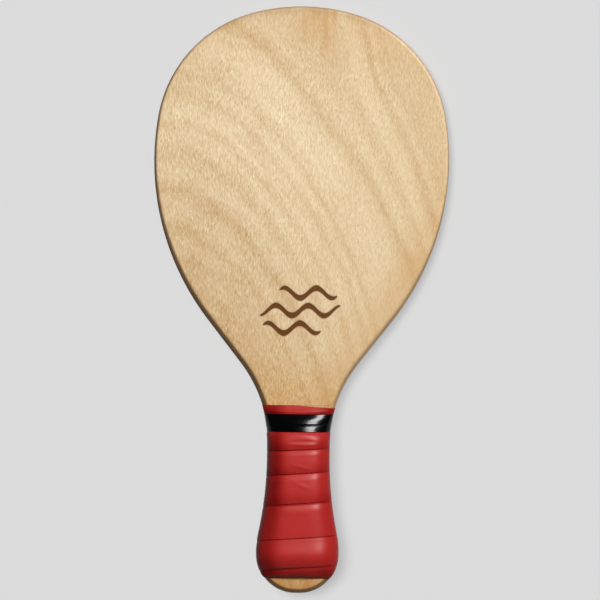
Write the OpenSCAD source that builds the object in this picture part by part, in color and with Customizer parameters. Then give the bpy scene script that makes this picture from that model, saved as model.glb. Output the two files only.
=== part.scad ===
// Wooden beach paddle: an oval plywood blade with a rounded edge, two domed
// cheeks glued on its handle, a cushioned grip wrap and black finishing tape.
// The blade lies in the XY plane. +Y runs from the butt to the tip, +Z is the
// front face, and the origin is the middle of the whole paddle.

/* [Blade] */
// Length from the butt to the tip
paddle_len = 400; // [370:1:430]
// Greatest width of the blade
blade_w = 201; // [190:1:215]
// Height of the widest place above the butt, as a share of the length
widest_share = 0.7375; // [0.71:0.0025:0.76]
// Height at which the neck begins to widen, as a share of the length
neck_share = 0.2506; // [0.2306:0.0005:0.2706]
// Radius of the tip, as a share of the blade's width
tip_r_share = 0.627; // [0.59:0.001:0.69]
// Radius of the shoulders between tip and flanks, as a share of the blade's width
shoulder_r_share = 0.438; // [0.41:0.001:0.47]
// Radius of the flanks beside the widest place, as a share of the blade's width
flank_r_share = 0.8806; // [0.82:0.0001:0.94]
// Radius of the neck's hollow fillet, as a share of the largest that fits there
neck_r_share = 0.9126; // [0.7:0.0001:0.99]

/* [Plywood] */
// Thickness of the whole blade
core_t = 10; // [9:0.1:12]
// Thickness of each of the two face plies
face_ply_t = 1.2; // [0.8:0.1:1.4]
// Radius of the rounded edge, front and back
rim_r = 2.7; // [1.8:0.1:3.2]
// Depth to which the faces are planed under the handle's cheeks and wrap
land_depth = 0.2; // [0.1:0.05:0.4]

/* [Handle core] */
// Width of the plywood at the waist of the handle
waist_w = 41.6; // [36:0.1:46]
// Height of the waist, as a share of the height at which the neck begins
waist_share = 0.9276; // [0.85:0.0001:0.99]
// Greatest width of the plywood near the butt
butt_w = 55.2; // [50:0.1:60]
// Height of that place above the butt
butt_y = 27.8; // [27:0.1:34]
// Radius of the hollow flare above the butt, as a share of both side radii
flare_share = 0.7975; // [0.7:0.0005:0.85]
// Radius of the corners at the butt, as a share of half the width there
corner_share = 0.942; // [0.8:0.001:0.98]

/* [Cheeks] */
// Height of each cheek over the face, at the waist
cheek_waist_t = 8.6; // [7:0.1:10]
// Height of each cheek over the face, at its thickest near the butt
cheek_butt_t = 9.4; // [8:0.1:11]
// Height of each cheek at its two thin ends
cheek_end_t = 0.8; // [0.6:0.1:1.5]
// Length of the rounded slope at the butt
butt_slope_len = 17; // [14:1:20]
// Length of the rounded slope at the neck
neck_slope_len = 26; // [22:1:30]
// How square the domed section is: 2 is an ellipse
dome_power = 2.1; // [2:0.1:3.4]

/* [Grip wrap] */
// Height of the wrap's lower edge above the butt
wrap_bottom = 10.6; // [9:0.1:13]
// How far the wrap reaches up the widening neck
neck_cover = 27.8; // [25:0.1:31]
// Rise of the wrap in one turn
wrap_pitch = 19.6; // [18:0.1:22]
// Height of the lowest seam above the butt, at the left edge
wrap_seam = 14.9; // [13.5:0.1:16]
// Thickness of the wrap at the crown of a turn
wrap_t = 0.8; // [0.6:0.05:1.2]
// Thickness of the wrap at its edges
wrap_edge_t = 0.5; // [0.4:0.05:0.8]
// Gap between one turn of the wrap and the next
wrap_gap = 0.6; // [0.5:0.05:0.9]
// Clearance between the wrap and the wood
wrap_clear = 0.15; // [0.1:0.05:0.3]
// Width to which the wrap is cut at its two ends
wrap_end_w = 2; // [1.5:0.1:3]

/* [Finishing tape] */
// Width of the tape's band
tape_w = 12.3; // [10:0.1:14]
// Distance from the wrap's upper edge down to the tape
tape_drop = 6.3; // [5:0.1:8]
// Turns of tape
tape_turns = 2; // [2:1:3]
// Thickness of the tape
tape_t = 0.35; // [0.25:0.05:0.5]
// Gap between one turn of the tape and the next
tape_gap = 0.5; // [0.45:0.05:0.7]
// Width to which the tape is torn at its two ends
tape_end_w = 1.2; // [1:0.1:2]

/* [Burnt ornament] */
// Height of the ornament's middle above the butt, as a share of the length
mark_share = 0.4815; // [0.46:0.0005:0.5]
// Length of the longest wavy line
mark_w = 55; // [45:1:60]
// Distance from one wavy line to the next
mark_step = 12; // [11:0.5:14]
// Height of a wave from its middle line
wave_h = 3.4; // [2:0.1:4]
// Width of a line at its middle
wave_stroke = 4.2; // [3:0.1:5]
// Depth to which the lines are burnt in
mark_depth = 0.25; // [0.1:0.05:0.5]

/* [Hidden] */

// Greatest gap between a curve and the straight chords that stand for it
chord_gap = 0.05;
// Overrun of the cutting solids past the faces that they cut
overrun = 1;
// Largest turn of the rounded rim from one ring of points to the next
rim_step_deg = 22;
// Sides of a dome across, and slices of a cheek along the handle
dome_sides = 16;
cheek_slices = 28;
// Rings in one turn of the wrap or of the tape
turn_rings = 24;
// Share of a turn's rise that falls on the front, where the wrap is drawn flat
front_rise_share = 0.22;
// Wavy lines: each one's length as a share of the longest, and its sideways
// shift as a share of the longest
wave_len_shares = [0.72, 1, 0.72];
wave_shift_shares = [0.1, 0, -0.1];
waves_in_longest = 2.5;
wave_points = 48;
// How much squarer the wrap's section is where the cheeks thin out
corner_power = 3.4;
// Clearance between the tape and the wrap below it
tape_clear = 0.05;

half_t = core_t / 2;
inner_ply_t = (core_t - 2 * face_ply_t) / 5;
land_z = half_t - land_depth;
widest_y = paddle_len * widest_share;
neck_y = paddle_len * neck_share;
waist_y = neck_y * waist_share;
wrap_top = neck_y + neck_cover;
tape_top = wrap_top - tape_drop;
tape_bottom = tape_top - tape_w;
// The blade's own faces end where the wrap begins
land_top = wrap_top + wrap_clear;

// Outline.
// Each arc is [centre, radius, first angle, last angle, side, apart], on the
// right half and from the tip down. Side is 1 where the arc bulges and -1
// where it is hollow. Apart is true where a straight stretch leads to the arc,
// or where none comes before it. Heights are measured from the butt.
function meet(a, ra, b, rb, side) =
    let (d = norm(b - a), e = (b - a) / d,
         k = (ra * ra - rb * rb + d * d) / (2 * d),
         h = sqrt(max(ra * ra - k * k, 0)))
    a + k * e + side * h * [-e.y, e.x];
function angle_to(a, b) = atan2(b.y - a.y, b.x - a.x);
function on_arc(c, r, t) = c + r * [cos(t), sin(t)];

tip_r = blade_w * tip_r_share;
shoulder_r = blade_w * shoulder_r_share;
flank_r = blade_w * flank_r_share;
tip_c = [0, paddle_len - tip_r];
flank_c = [blade_w / 2 - flank_r, widest_y];
shoulder_c = meet(flank_c, flank_r - shoulder_r, tip_c, tip_r - shoulder_r, 1);
tip_end = angle_to(tip_c, shoulder_c);
shoulder_end = angle_to(flank_c, shoulder_c);

// The largest fillet touches the flank's own arc and the handle's side where
// the neck begins. The real one is smaller, and a straight stretch joins them.
side_run = flank_r - (blade_w - waist_w) / 2;
neck_r = neck_r_share * (pow(side_run, 2) + pow(widest_y - neck_y, 2) - pow(flank_r, 2))
    / (blade_w - waist_w);
neck_c = [waist_w / 2 + neck_r, neck_y];
// Slope of that straight stretch, from the length
neck_angle = -angle_to(flank_c, neck_c) - acos((flank_r + neck_r) / norm(neck_c - flank_c));

// The butt's side arc touches the flare
swell = (butt_w - waist_w) / 2;
side_radii = (swell * swell + pow(waist_y - butt_y, 2)) / (2 * swell);
flare_r = side_radii * flare_share;
flare_c = [waist_w / 2 + flare_r, waist_y];
butt_side_r = side_radii - flare_r;
corner_r = butt_w / 2 * corner_share;
butt_side_c = [butt_w / 2 - butt_side_r, butt_y];
flare_end = angle_to(flare_c, butt_side_c);
corner_c = butt_side_c + [sqrt(pow(butt_side_r - corner_r, 2) - pow(butt_y - corner_r, 2)),
                          corner_r - butt_y];
corner_start = angle_to(butt_side_c, corner_c);

OUTLINE = [
    [tip_c, tip_r, 90, tip_end, 1, true],
    [shoulder_c, shoulder_r, tip_end, shoulder_end, 1, false],
    [flank_c, flank_r, shoulder_end, -neck_angle, 1, false],
    [neck_c, neck_r, 180 - neck_angle, 180, -1, true],
    [flare_c, flare_r, 180, 360 + flare_end, -1, true],
    [butt_side_c, butt_side_r, 180 + flare_end, corner_start, 1, false],
    [corner_c, corner_r, corner_start, -90, 1, false]];

function arc_steps(a) = max(2, ceil(abs(a[3] - a[2]) / (2 * acos(1 - chord_gap / a[1]))));
function arc_points(a, inset) =
    let (n = arc_steps(a))
    [for (i = [0:n]) on_arc(a[0], a[1] - a[4] * inset, a[2] + (a[3] - a[2]) * i / n)];
function right_half(inset) =
    [for (a = OUTLINE) let (p = arc_points(a, inset))
        for (i = [a[5] ? 0 : 1 : len(p) - 1]) p[i]];
function outline(inset) =
    let (r = right_half(inset), n = len(r))
    concat(r, [for (i = [n - 1:-1:1]) [-r[i].x, r[i].y]]);

// Half the width of the plywood at height y, along the handle and up the neck
neck_end = on_arc(neck_c, neck_r, 180 - neck_angle);
function half_at(y) =
    y >= neck_end.y ? neck_end.x + (y - neck_end.y) * tan(neck_angle)
    : y >= neck_c.y ? neck_c.x - sqrt(neck_r * neck_r - pow(y - neck_c.y, 2))
    : y >= waist_y ? waist_w / 2
    : y >= (flare_c + flare_r * [cos(flare_end), sin(flare_end)]).y
        ? flare_c.x - sqrt(flare_r * flare_r - pow(y - flare_c.y, 2))
    : y >= on_arc(corner_c, corner_r, corner_start).y
        ? butt_side_c.x + sqrt(butt_side_r * butt_side_r - pow(y - butt_side_c.y, 2))
    : corner_c.x + sqrt(max(corner_r * corner_r - pow(y - corner_c.y, 2), 0));

// A closed skin over rings of as many points each. A cap runs as a strip of
// triangles from each point j to its partner n - j.
function cap(n) =
    [for (j = [0:floor((n - 2) / 2)]) let (a = j, b = j + 1, c = n - j - 1, d = (n - j) % n)
        each concat(c == b ? [] : [[a, b, c]], j == 0 ? [] : [[a, c, d]])];
function skin_faces(rings, n) = concat(
    cap(n),
    [for (i = [0:rings - 2], j = [0:n - 1]) let (k = (j + 1) % n)
        each [[i * n + j, (i + 1) * n + j, (i + 1) * n + k],
              [i * n + j, (i + 1) * n + k, i * n + k]]],
    [for (f = cap(n)) [f[2], f[1], f[0]] + (rings - 1) * [n, n, n]]);
module skin(rings) {
    polyhedron([for (r = rings) each r], skin_faces(len(rings), len(rings[0])));
}
// Heights above the butt become places in the frame
module placed() { translate([0, -paddle_len / 2, 0]) children(); }

// Plies.
function rim_angle(z) = asin(min(max((z - half_t + rim_r) / rim_r, 0), 1));
// A ply of the front half, from z0 up to z1, with its share of the rounded rim
module ply(z0, z1) {
    a0 = rim_angle(z0);
    a1 = rim_angle(z1);
    steps = max(1, ceil((a1 - a0) / rim_step_deg));
    if (a1 > 0) {
        tops = [for (i = [0:steps]) a0 + (a1 - a0) * i / steps];
        skin([for (i = [0:steps])
            let (z = i == 0 ? z0 : half_t - rim_r + rim_r * sin(tops[i]),
                 p = outline(rim_r * (1 - cos(tops[i]))))
            [for (j = [0:len(p) - 1]) let (q = p[(len(p) - j) % len(p)]) [q.x, q.y, z]]]);
    } else {
        translate([0, 0, z0]) linear_extrude(z1 - z0) polygon(outline(0));
    }
}
module face_ply() {
    difference() {
        ply(half_t - face_ply_t, half_t);
        translate([-blade_w / 2, -overrun, land_z])
            cube([blade_w, land_top + overrun, land_depth + overrun]);
    }
}
// The plies below the face, counted from it
function inner_z(n) = half_t - face_ply_t - n * inner_ply_t;

// One wavy line that thins to its ends
module wave(len, shift) {
    function mid(t) = [shift + len * (t - 0.5),
                       wave_h * sin(360 * waves_in_longest * (len * (t - 0.5)) / mark_w)];
    function half(t) = wave_stroke / 2 * sqrt(max(1 - pow(2 * t - 1, 4), 0));
    linear_extrude(mark_depth + overrun)
        polygon(concat(
            [for (i = [0:wave_points]) mid(i / wave_points) - [0, half(i / wave_points)]],
            [for (i = [wave_points - 1:-1:1]) mid(i / wave_points) + [0, half(i / wave_points)]]));
}
module ornament() {
    for (i = [0:len(wave_len_shares) - 1])
        translate([0, paddle_len * mark_share + mark_step * (1 - i), half_t - mark_depth])
            wave(mark_w * wave_len_shares[i], mark_w * wave_shift_shares[i]);
}

module ply_1_front() {
    color("burlywood") placed() difference() {
        face_ply();
        ornament();
    }
}
module ply_2() { color("tan") placed() ply(inner_z(1), inner_z(0)); }
module ply_3() { color("burlywood") placed() ply(inner_z(2), inner_z(1)); }
module ply_4_middle() { color("tan") placed() ply(inner_z(3), inner_z(2)); }
module ply_5() { color("burlywood") placed() mirror([0, 0, 1]) ply(inner_z(2), inner_z(1)); }
module ply_6() { color("tan") placed() mirror([0, 0, 1]) ply(inner_z(1), inner_z(0)); }
module ply_7_back() { color("burlywood") placed() mirror([0, 0, 1]) face_ply(); }

// Cheeks.
cheek_bottom = wrap_bottom;
cheek_top = wrap_top - wrap_end_w;
// The crown's height: thickest near the butt, with a rounded slope at each end
function crown(y) =
    cheek_waist_t + (cheek_butt_t - cheek_waist_t)
        * min(max((waist_y - y) / (waist_y - butt_y), 0), 1);
function slope(d, run) = let (s = min(max(d / run, 0), 1)) 1 - (1 - s) * (1 - s);
function cheek_h(y) =
    cheek_end_t + (crown(y) - cheek_end_t)
        * slope(y - cheek_bottom, butt_slope_len) * slope(cheek_top - y, neck_slope_len);
// A point of the squared ellipse with unit radii, at angle t from 0 to 90
function dome(t, power) = [pow(abs(cos(t)), 2 / power), pow(abs(sin(t)), 2 / power)];
module cheek() {
    skin([for (i = [0:cheek_slices])
        let (y = cheek_bottom + (cheek_top - cheek_bottom) * (1 - cos(180 * i / cheek_slices)) / 2,
             w = half_at(y) - rim_r, h = cheek_h(y))
        [for (j = [0:dome_sides])
            let (t = 180 * j / dome_sides, d = dome(t, dome_power))
            [w * d.x * (t > 90 ? -1 : 1), y, land_z + h * d.y]]]);
}
module cheek_front() { color("wheat") placed() cheek(); }
module cheek_back() { color("wheat") placed() mirror([0, 0, 1]) cheek(); }

// Winding.
// Where the handle's surface lies at height y and angle t, and a distance
// outside it: out.x across and out.y towards the front or the back. The sides
// are straight for one ring either way, and a low section has squarer corners.
side_deg = 360 / turn_rings;
function grip_point(y, t, out) =
    let (a = abs(asin(sin(t))), rise = rim_r + cheek_h(y),
         d = dome(max(0, a - side_deg) * 90 / (90 - side_deg),
                  dome_power + corner_power * pow(rim_r / rise, 2)))
    [(cos(t) < 0 ? -1 : 1) * (half_at(y) + out.x) * d.x, y,
     (a < side_deg / 2 ? 0 : sign(sin(t))) * (half_t - rim_r + (rise + out.y) * d.y)];
// How far the handle bulges past a straight chord from height a to height b
function bulge(a, b) = [for (k = [0.25, 0.5, 0.75]) let (y = a + (b - a) * k)
    [half_at(y) - half_at(a) * (1 - k) - half_at(b) * k,
     cheek_h(y) - cheek_h(a) * (1 - k) - cheek_h(b) * k]];
function lift(a, m, b) = let (all = concat(bulge(a, m), bulge(m, b)))
    [max(0, max([for (p = all) p.x])), max(0, max([for (p = all) p.y]))];
// How far those chords stand off the handle where it is hollow
function stand_off(a, m, b) = let (all = concat(bulge(a, m), bulge(m, b)))
    [-min(0, min([for (p = all) p.x])), -min(0, min([for (p = all) p.y]))];

// A turn starts at the left edge and crosses the front first. The front takes
// only its own share of the rise.
function climb(u, pitch) = pitch * (u - (0.5 - front_rise_share) * (1 - cos(360 * u)) / 2);
function ring_angle(u) = 180 - 360 * u;
// Sections of a strip wound from bottom to top, with its ends cut to end_w.
// The inside lies at off from the wood, and the crown is thicker than the edges.
function strip_rings(bottom, top, pitch, seam, gap, end_w, off, crown_t, edge_t) =
    [for (i = [-2 * turn_rings : ceil((top - bottom) / pitch + 2) * turn_rings])
        let (u = i / turn_rings,
             a = max(bottom, seam + climb(u, pitch) + gap / 2),
             b = min(top, seam + climb(u + 1, pitch) - gap / 2))
        if (b - a >= end_w)
            let (m = (a + b) / 2, t = ring_angle(u),
                 inside = lift(a, m, b) + off,
                 edge = inside + [edge_t, edge_t], mid = inside + [crown_t, crown_t])
            [grip_point(a, t, inside), grip_point(m, t, inside), grip_point(b, t, inside),
             grip_point(b, t, edge), grip_point(m, t, mid), grip_point(a, t, edge)]];

// Least distance from a ring's points to those about one turn further on
function least_gap(rings) =
    min([for (i = [0:len(rings) - 1], k = [-4:4])
        let (j = i + turn_rings + k) if (j < len(rings))
            min([for (p = rings[i], q = rings[j]) norm(p - q)])]);

wrap_off = [wrap_clear, wrap_clear];
wrap_rings = strip_rings(wrap_bottom, wrap_top, wrap_pitch, wrap_seam, wrap_gap, wrap_end_w,
                         wrap_off, wrap_t, wrap_edge_t);
// The tape lies outside every section of the wrap that runs under it
under_tape = [for (r = wrap_rings) if (r[2].y > tape_bottom && r[0].y < tape_top)
    lift(r[0].y, r[1].y, r[2].y) + stand_off(r[0].y, r[1].y, r[2].y)];
tape_pitch = (tape_top - tape_bottom) / tape_turns;
tape_off = wrap_off + [wrap_t + tape_clear, wrap_t + tape_clear]
    + [max([for (l = under_tape) l.x]), max([for (l = under_tape) l.y])];
tape_rings = strip_rings(tape_bottom, tape_top, tape_pitch, tape_bottom + tape_pitch / 2,
                         tape_gap, tape_end_w, tape_off, tape_t, tape_t);

module grip_wrap() {
    echo(str("grip wrap: least gap to itself ", least_gap(wrap_rings), " mm"));
    color("firebrick") placed() skin(wrap_rings);
}
module finishing_tape() {
    echo(str("finishing tape: least gap to itself ", least_gap(tape_rings), " mm"));
    color("black") placed() skin(tape_rings);
}

ply_1_front();
ply_2();
ply_3();
ply_4_middle();
ply_5();
ply_6();
ply_7_back();
cheek_front();
cheek_back();
grip_wrap();
finishing_tape();
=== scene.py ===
import math

import bmesh
import bpy
from mathutils import Matrix, Vector


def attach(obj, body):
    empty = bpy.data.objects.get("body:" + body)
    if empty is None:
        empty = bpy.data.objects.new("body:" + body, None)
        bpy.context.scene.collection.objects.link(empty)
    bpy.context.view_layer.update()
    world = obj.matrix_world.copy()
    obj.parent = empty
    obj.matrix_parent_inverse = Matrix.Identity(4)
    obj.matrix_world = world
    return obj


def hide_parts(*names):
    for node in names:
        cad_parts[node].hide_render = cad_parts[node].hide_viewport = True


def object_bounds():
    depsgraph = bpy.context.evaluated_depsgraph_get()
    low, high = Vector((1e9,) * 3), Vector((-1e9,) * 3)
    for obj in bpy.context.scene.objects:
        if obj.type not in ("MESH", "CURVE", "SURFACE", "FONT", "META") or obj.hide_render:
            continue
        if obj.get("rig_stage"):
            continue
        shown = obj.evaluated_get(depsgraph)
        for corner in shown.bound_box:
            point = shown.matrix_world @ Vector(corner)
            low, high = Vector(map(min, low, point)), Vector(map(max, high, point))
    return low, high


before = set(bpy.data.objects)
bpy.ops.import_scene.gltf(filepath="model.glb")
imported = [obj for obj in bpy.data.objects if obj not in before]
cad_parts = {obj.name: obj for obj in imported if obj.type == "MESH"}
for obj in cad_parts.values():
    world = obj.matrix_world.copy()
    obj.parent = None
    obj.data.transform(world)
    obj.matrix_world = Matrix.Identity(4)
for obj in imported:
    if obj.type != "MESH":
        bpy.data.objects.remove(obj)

bl_info = {
    "name": "Beach Paddle",
    "version": (1, 0, 0),
    "blender": (4, 5, 0),
    "location": "View3D > Sidebar > Paddle",
    "description": "Dresses the wooden beach paddle: plies, cheeks, grip wrap, tape and stage",
    "category": "Object",
}

MM = 0.001
CAD_LOW, CAD_HIGH = (Vector(corner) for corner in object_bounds())
BODY = "root"

# The photograph's frame, in its own pixels
PHOTO_SIDE_PX = 600
TIP_ROW_PX = 6.1
BUTT_ROW_PX = 593.4
AXIS_AT_TOP_PX = 303.33
AXIS_AT_BOTTOM_PX = 297.0


def colour(red, green, blue):
    """A colour read on screen, 0 to 255, as the linear values that Blender keeps."""
    def linear(c):
        c /= 255
        return c / 12.92 if c <= 0.04045 else ((c + 0.055) / 1.055) ** 2.4
    return linear(red), linear(green), linear(blue)


def length(name, description, mm):
    """A size in a property group, written in millimetres."""
    return bpy.props.FloatProperty(name=name, description=description, default=mm * MM,
                                   subtype="DISTANCE", unit="LENGTH", precision=5)


def paint(name, description, red, green, blue):
    """A colour in a property group."""
    return bpy.props.FloatVectorProperty(name=name, description=description, size=3, min=0,
                                         max=1, subtype="COLOR",
                                         default=colour(red, green, blue))


class PaddleSizes(bpy.types.PropertyGroup):
    """Sizes of the wood, measured from the butt along the handle."""
    overall: length("Length", "From the butt to the tip", (CAD_HIGH.y - CAD_LOW.y) / MM)
    width: length("Width", "Greatest width of the blade", (CAD_HIGH.x - CAD_LOW.x) / MM)
    widest: length("Widest place", "Its height above the butt", 295)
    tip_radius: length("Tip radius", "Radius of the tip", 126)
    shoulder_radius: length("Shoulder radius", "Between the tip and the flanks", 88)
    flank_radius: length("Flank radius", "Beside the widest place", 177)
    flank_slope: bpy.props.FloatProperty(
        name="Flank slope", description="Angle of the straight flanks from the length",
        default=math.radians(37.9), subtype="ANGLE", unit="ROTATION")
    neck_radius: length("Neck radius", "Hollow fillet between flank and handle", 92)
    waist_width: length("Waist width", "Width of the plywood at the waist", 41.6)
    waist: length("Waist", "Its height above the butt", 93)
    butt_width: length("Butt width", "Greatest width of the plywood near the butt", 55.2)
    butt: length("Butt", "Height of that place above the butt", 27.8)
    flare_radius: length("Flare radius", "Hollow flare between waist and butt", 252)
    corner_radius: length("Corner radius", "Corners at the butt", 26)
    thickness: length("Thickness", "Thickness of the blade", 10)
    face_ply: length("Face ply", "Thickness of each face ply", 1.2)
    rim: length("Rim", "Radius of the rounded edge round the tip", 2.6)
    low_rim: length("Low rim", "Radius of the fuller edge from the flanks to the butt", 4.8)
    land: length("Land", "Depth to which the faces are planed under the handle", 0.2)


class GripSizes(bpy.types.PropertyGroup):
    """Sizes of the handle's core, wrap and tape."""
    cheek_waist: length("Cheek at waist", "Height of a cheek over the face there", 8.6)
    cheek_butt: length("Cheek at butt", "Height of a cheek at its thickest", 9.4)
    cheek_end: length("Cheek ends", "Height of a cheek at its thin ends", 0.8)
    butt_slope: length("Butt slope", "Length of the rounded slope at the butt", 17)
    neck_slope: length("Neck slope", "Length of the rounded slope at the neck", 26)
    bottom: length("Wrap bottom", "Height of the wrap's lower edge above the butt", 10.6)
    top: length("Wrap top", "Height of the wrap's upper edge above the butt", 128.04)
    wrap: length("Wrap", "Thickness of the cushioned wrap", 0.8)
    lap: length("Lap", "How far each turn of the wrap covers the one below", 4.5)
    tape_bottom: length("Tape bottom", "Height of the tape's lower edge", 109.9)
    tape_top: length("Tape top", "Height of the tape's upper edge", 122.2)
    tape: length("Tape", "Thickness of the tape", 0.22)


class PaddleColours(bpy.types.PropertyGroup):
    """Colours of the paddle and its stage."""
    wood_pale: paint("Pale wood", "Lightest bands of the face", 240, 217, 176)
    wood_deep: paint("Deep wood", "Darkest bands of the face", 205, 168, 118)
    wood_warm: paint("Warm wood", "Orange tint near the tip and the rim", 207, 158, 98)
    wood_blush: paint("Blush", "Faint pink patches of the face", 240, 208, 176)
    wood_aged: paint("Handled wood", "Stain of handling at the neck and the butt",
                     250, 235, 212)
    edge_pale: paint("Pale edge", "Edge of a ply cut along its grain", 200, 166, 122)
    # Also the colour of the painted shade on the rim down the left side and round the butt
    edge_deep: paint("Deep edge", "Edge of a ply cut across its grain", 120, 84, 50)
    glue: paint("Glue line", "Line between two plies", 70, 45, 26)
    burnt: paint("Burnt line", "The ornament's burnt wood", 100, 56, 0)
    wrap: paint("Wrap", "Cushioned red wrap", 188, 44, 40)
    # The deep red of the painted shade in the seams, at the bottom and down the sides, and of
    # random darker patches
    wrap_deep_and_shade: paint("Wrap in creases", "Wrap in its seams and creases", 122, 8, 8)
    tape: paint("Tape", "Black finishing tape", 2, 2, 2)
    floor: paint("Floor", "Pale floor", 221, 221, 221)


class Millimetres:
    """The lengths of a property group in millimetres, under the same names."""

    def __init__(self, group):
        for name in group.__annotations__:
            if name != "flank_slope":
                setattr(self, name, getattr(group, name) / MM)


# Outline of the wood.
# Plain vector sums in millimetres, with heights measured from the butt.
def on_arc(centre, radius, degrees):
    """The point at that angle on an arc."""
    a = math.radians(degrees)
    return Vector((centre.x + radius * math.cos(a), centre.y + radius * math.sin(a)))


def angle_to(a, b):
    """Direction from one point to another, in degrees."""
    return math.degrees(math.atan2(b.y - a.y, b.x - a.x))


class Outline:
    """The paddle's outline as arcs of the right half, from the tip down to the butt."""

    def __init__(self, sizes):
        mm, s = Millimetres(sizes), sizes.flank_slope
        slope = math.degrees(s)
        self.long, self.half_thick = mm.overall, mm.thickness / 2
        # The tip, the shoulder and the flank: three arcs that run on into each other
        tip_r, shoulder_r, flank_r = mm.tip_radius, mm.shoulder_radius, mm.flank_radius
        tip = Vector((0, self.long - tip_r))
        flank = Vector((mm.width / 2 - flank_r, mm.widest))
        gap = tip - flank
        d = gap.length
        ra, rb = flank_r - shoulder_r, tip_r - shoulder_r
        k = (ra * ra - rb * rb + d * d) / (2 * d)
        h = math.sqrt(ra * ra - k * k)
        along = gap / d
        shoulder = flank + along * k + Vector((-along.y, along.x)) * h
        # The hollow at the neck, which the straight flank runs into
        flank_end = on_arc(flank, flank_r, -slope)
        neck_r, self.waist_half = mm.neck_radius, mm.waist_width / 2
        neck_x = self.waist_half + neck_r
        neck = Vector((neck_x, flank_end.y
                       + ((neck_x - flank_end.x) * math.cos(s) - neck_r) / math.sin(s)))
        # The flare from the waist, the swelling at the butt and its round corner
        flare_r, corner_r = mm.flare_radius, mm.corner_radius
        flare = Vector((self.waist_half + flare_r, mm.waist))
        swell = (mm.butt_width - mm.waist_width) / 2
        side_r = (swell ** 2 + (mm.waist - mm.butt) ** 2) / (2 * swell) - flare_r
        side = Vector((mm.butt_width / 2 - side_r, mm.butt))
        flare_end = angle_to(flare, side)
        corner = side + Vector((math.sqrt((side_r - corner_r) ** 2 - (mm.butt - corner_r) ** 2),
                                corner_r - mm.butt))
        start = angle_to(side, corner)
        self.waist, self.butt = mm.waist, mm.butt
        # Each arc is centre, radius, first and last angle, and side: 1 bulges, -1 is hollow
        self.arcs = [
            (tip, tip_r, 90, angle_to(tip, shoulder), 1),
            (shoulder, shoulder_r, angle_to(tip, shoulder), angle_to(flank, shoulder), 1),
            (flank, flank_r, angle_to(flank, shoulder), -slope, 1),
            (neck, neck_r, 180 - slope, 180, -1),
            (flare, flare_r, 180, 360 + flare_end, -1),
            (side, side_r, 180 + flare_end, start, 1),
            (corner, corner_r, start, -90, 1)]

    def half_at(self, y):
        """Half the width of the plywood at height y along the handle."""
        neck, flare, side, corner = self.arcs[3:]
        if neck[0].y > y >= self.waist:
            return self.waist_half
        if y >= self.waist:
            arc = neck
        elif y >= on_arc(*flare[:2], flare[3]).y:
            arc = flare
        else:
            arc = side if y >= on_arc(*corner[:3]).y else corner
        centre, radius, _, _, bulge = arc
        return centre.x + bulge * math.sqrt(max(radius ** 2 - (y - centre.y) ** 2, 0))

    def points(self, step):
        """Points all round the outline, each with its outward direction, the tip first."""
        half = []
        for centre, radius, first, last, side in self.arcs:
            count = max(2, math.ceil(abs(math.radians(last - first)) * radius / step))
            for i in range(count + 1):
                a = first + (last - first) * i / count
                p = on_arc(centre, radius, a)
                out = (p - centre).normalized() * side
                gap = (p - half[-1][0]).length if half else step
                if gap > 1.5 * step:
                    q, old = half[-1]
                    pieces = math.ceil(gap / step)
                    half += [(q.lerp(p, j / pieces), old.lerp(out, j / pieces).normalized())
                             for j in range(1, pieces)]
                if gap > 0.2 * step:
                    half.append((p, out))
        mirrored = [(Vector((-p.x, p.y)), Vector((-n.x, n.y))) for p, n in half[1:-1]]
        return half + mirrored[::-1]


def smooth(value, low, high):
    """0 below low, 1 above high, and a soft step between."""
    t = min(max((value - low) / (high - low), 0), 1)
    return t * t * (3 - 2 * t)


def mesh_object(name, points, faces):
    """A new object from points in millimetres. Faces of up to four corners are soft."""
    mesh = bpy.data.meshes.new(name)
    mesh.from_pydata([Vector(p) * MM for p in points], [], faces)
    mesh.validate()
    piece = bpy.data.objects.new(name, mesh)
    bpy.context.scene.collection.objects.link(piece)
    bm = bmesh.new()
    bm.from_mesh(mesh)
    bmesh.ops.recalc_face_normals(bm, faces=bm.faces)
    for face in bm.faces:
        face.smooth = len(face.verts) < 5
    bm.to_mesh(mesh)
    bm.free()
    return piece


def skin(name, rings):
    """A closed skin over rings of as many points each."""
    count = len(rings[0])
    faces = [(i * count + j, i * count + (j + 1) % count,
              (i + 1) * count + (j + 1) % count, (i + 1) * count + j)
             for i in range(len(rings) - 1) for j in range(count)]
    faces += [tuple(reversed(range(count))),
              tuple(range((len(rings) - 1) * count, len(rings) * count))]
    return mesh_object(name, [p for ring in rings for p in ring], faces)


def finish_piece(piece, node, material):
    """The piece takes the CAD node's place, rides on the body and gets its material."""
    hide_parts(node)
    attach(piece, BODY)
    piece.data.materials.append(material)


def carve(piece, cutters):
    """Cuts the cutters out of the piece, and removes them."""
    for cutter in cutters:
        cut = piece.modifiers.new("cut", "BOOLEAN")
        cut.operation, cut.solver, cut.object = "DIFFERENCE", "EXACT", cutter
    shaped = bpy.data.meshes.new_from_object(
        piece.evaluated_get(bpy.context.evaluated_depsgraph_get()))
    piece.modifiers.clear()
    piece.data = shaped
    for cutter in cutters:
        bpy.data.objects.remove(cutter)


# Ornament: three wavy lines that thin to their ends, in millimetres.
MARK_MIDDLE, MARK_LONG, MARK_STEP = 192.6, 55, 12
WAVE_HIGH, WAVE_STROKE, MARK_DEEP = 3.4, 4.2, 0.25
WAVES = 2.5
# Each line's length and its shift, as shares of the longest, from the top down
LINES = [(0.72, 0.1), (1, 0), (0.72, -0.1)]


def mark_lines():
    """Height over the paddle's middle, length and shift of each line, from the top down."""
    middle = MARK_MIDDLE - (CAD_HIGH.y - CAD_LOW.y) / MM / 2
    return [(middle + MARK_STEP * (1 - i), MARK_LONG * long, MARK_LONG * shift)
            for i, (long, shift) in enumerate(LINES)]


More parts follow.
